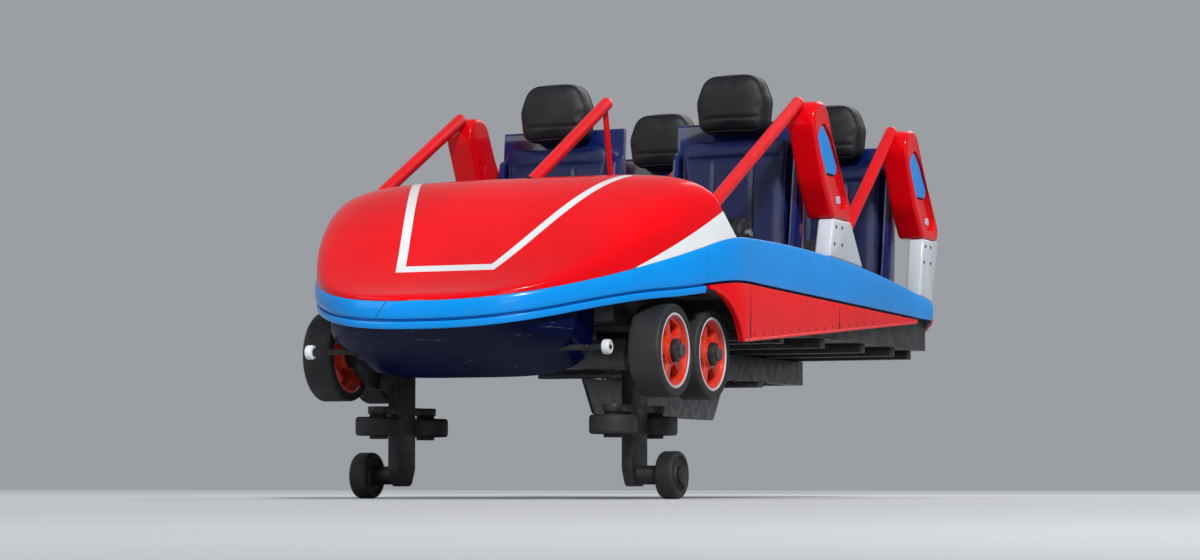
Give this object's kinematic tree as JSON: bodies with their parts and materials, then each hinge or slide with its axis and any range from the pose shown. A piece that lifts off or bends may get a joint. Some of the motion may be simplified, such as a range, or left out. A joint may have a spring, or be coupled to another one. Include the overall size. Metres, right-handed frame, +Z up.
{
  "type": "roller coaster car",
  "caption": "Lead car of an articulated roller coaster train, with side-by-side seats in rows, a rounded nose, lap bars and wheel sets that clasp tubular rails.",
  "frame": {"origin": "midway between the two rails, level with their tops, under the axle", "axes": "nose toward -Y, tail toward +Y, the car's left side toward +X, +Z up"},
  "size_m": [1.41, 3.103, 1.473],
  "materials": {
    "hood_red": "gloss",
    "band_blue": "gloss",
    "belly_navy": "gloss",
    "trim_white": "gloss",
    "panel_red": "gloss",
    "liner_grey": "satin",
    "floor_grey": "tread plate",
    "chassis_dark": "satin black",
    "bare_steel": "worn",
    "shell_navy": "satin moulded",
    "pad_navy": "stitched vinyl",
    "pad_black": "moulded foam skin",
    "wing_red": "gloss",
    "rail_red": "gloss",
    "tyre_dark": "worn polyurethane",
    "hub_orange": "satin",
    "guide_tread": "worn polyurethane",
    "bar_steel": "satin",
    "bar_foam": "moulded foam skin"
  },
  "bodies": {
    "car": {"nose_hood": "hood_red", "nose_band": "band_blue", "nose_belly": "belly_navy", "side_bands": "band_blue", "side_wedges": "trim_white", "lower_panels": "panel_red", "side_liners": "liner_grey", "tail_panel": "panel_red", "floor_pan": "floor_grey", "side_fittings": "trim_white", "chassis_beams": "chassis_dark", "cross_members": "chassis_dark", "rear_coupling": "bare_steel", "brake_fin": "bare_steel", "seat_frames": "chassis_dark", "seat_shells": "shell_navy", "seat_cushions": "pad_navy", "back_pads": "pad_navy", "headrests": "pad_black", "seat_sides": "liner_grey", "side_wings": "wing_red", "wing_insets": "band_blue", "side_rails": "rail_red", "centre_rails": "rail_red", "lap_bar_brackets": "chassis_dark"},
    "axle": {"axle_beam": "bare_steel"},
    "bogie_left": {"carrier_left": "chassis_dark"},
    "wheel_front_left": {"tyre_front_left": "tyre_dark", "hub_front_left": "hub_orange"},
    "guide_wheel_front_left": {"guide_front_left": "guide_tread"},
    "wheel_rear_left": {"tyre_rear_left": "tyre_dark", "hub_rear_left": "hub_orange"},
    "guide_wheel_rear_left": {"guide_rear_left": "guide_tread"},
    "upstop_wheel_left": {"upstop_left": "guide_tread"},
    "bogie_right": {"carrier_right": "chassis_dark"},
    "wheel_front_right": {"tyre_front_right": "tyre_dark", "hub_front_right": "hub_orange"},
    "guide_wheel_front_right": {"guide_front_right": "guide_tread"},
    "wheel_rear_right": {"tyre_rear_right": "tyre_dark", "hub_rear_right": "hub_orange"},
    "guide_wheel_rear_right": {"guide_rear_right": "guide_tread"},
    "upstop_wheel_right": {"upstop_right": "guide_tread"},
    "restraint_front_left": {"lap_bar_front_left": "bar_steel", "bar_pad_front_left": "bar_foam"},
    "restraint_front_right": {"lap_bar_front_right": "bar_steel", "bar_pad_front_right": "bar_foam"},
    "restraint_rear_left": {"lap_bar_rear_left": "bar_steel", "bar_pad_rear_left": "bar_foam"},
    "restraint_rear_right": {"lap_bar_rear_right": "bar_steel", "bar_pad_rear_right": "bar_foam"}
  },
  "joints": [
    {"name": "axle_steer", "type": "hinge", "parent": "car", "child": "axle", "pos_m": [0, 0, 0.2], "axis": [0, 0, 1], "range_deg": [-6, 6]},
    {"name": "bogie_left_rock", "type": "hinge", "parent": "axle", "child": "bogie_left", "pos_m": [0.477, 0, 0.145], "axis": [1, 0, 0], "range_deg": [-3, 3]},
    {"name": "wheel_front_left_spin", "type": "hinge", "parent": "bogie_left", "child": "wheel_front_left", "pos_m": [0.568, -0.155, 0.145], "axis": [1, 0, 0], "continuous": true},
    {"name": "guide_front_left_spin", "type": "hinge", "parent": "bogie_left", "child": "guide_wheel_front_left", "pos_m": [0.411, -0.165, -0.082], "axis": [0, 0, 1], "continuous": true},
    {"name": "wheel_rear_left_spin", "type": "hinge", "parent": "bogie_left", "child": "wheel_rear_left", "pos_m": [0.568, 0.155, 0.145], "axis": [1, 0, 0], "continuous": true},
    {"name": "guide_rear_left_spin", "type": "hinge", "parent": "bogie_left", "child": "guide_wheel_rear_left", "pos_m": [0.411, 0.165, -0.082], "axis": [0, 0, 1], "continuous": true},
    {"name": "upstop_left_spin", "type": "hinge", "parent": "bogie_left", "child": "upstop_wheel_left", "pos_m": [0.54, 0, -0.239], "axis": [1, 0, 0], "continuous": true},
    {"name": "bogie_right_rock", "type": "hinge", "parent": "axle", "child": "bogie_right", "pos_m": [-0.477, 0, 0.145], "axis": [1, 0, 0], "range_deg": [-3, 3]},
    {"name": "wheel_front_right_spin", "type": "hinge", "parent": "bogie_right", "child": "wheel_front_right", "pos_m": [-0.568, -0.155, 0.145], "axis": [1, 0, 0], "continuous": true},
    {"name": "guide_front_right_spin", "type": "hinge", "parent": "bogie_right", "child": "guide_wheel_front_right", "pos_m": [-0.411, -0.165, -0.082], "axis": [0, 0, 1], "continuous": true},
    {"name": "wheel_rear_right_spin", "type": "hinge", "parent": "bogie_right", "child": "wheel_rear_right", "pos_m": [-0.568, 0.155, 0.145], "axis": [1, 0, 0], "continuous": true},
    {"name": "guide_rear_right_spin", "type": "hinge", "parent": "bogie_right", "child": "guide_wheel_rear_right", "pos_m": [-0.411, 0.165, -0.082], "axis": [0, 0, 1], "continuous": true},
    {"name": "upstop_right_spin", "type": "hinge", "parent": "bogie_right", "child": "upstop_wheel_right", "pos_m": [-0.54, 0, -0.239], "axis": [1, 0, 0], "continuous": true},
    {"name": "lap_bar_front_left_lift", "type": "hinge", "parent": "car", "child": "restraint_front_left", "pos_m": [0.34, 0.47, 0.292], "axis": [1, 0, 0], "range_deg": [0, 50]},
    {"name": "lap_bar_front_right_lift", "type": "hinge", "parent": "car", "child": "restraint_front_right", "pos_m": [-0.34, 0.47, 0.292], "axis": [1, 0, 0], "range_deg": [0, 50]},
    {"name": "lap_bar_rear_left_lift", "type": "hinge", "parent": "car", "child": "restraint_rear_left", "pos_m": [0.34, 1.46, 0.292], "axis": [1, 0, 0], "range_deg": [0, 50]},
    {"name": "lap_bar_rear_right_lift", "type": "hinge", "parent": "car", "child": "restraint_rear_right", "pos_m": [-0.34, 1.46, 0.292], "axis": [1, 0, 0], "range_deg": [0, 50]}
  ]
}
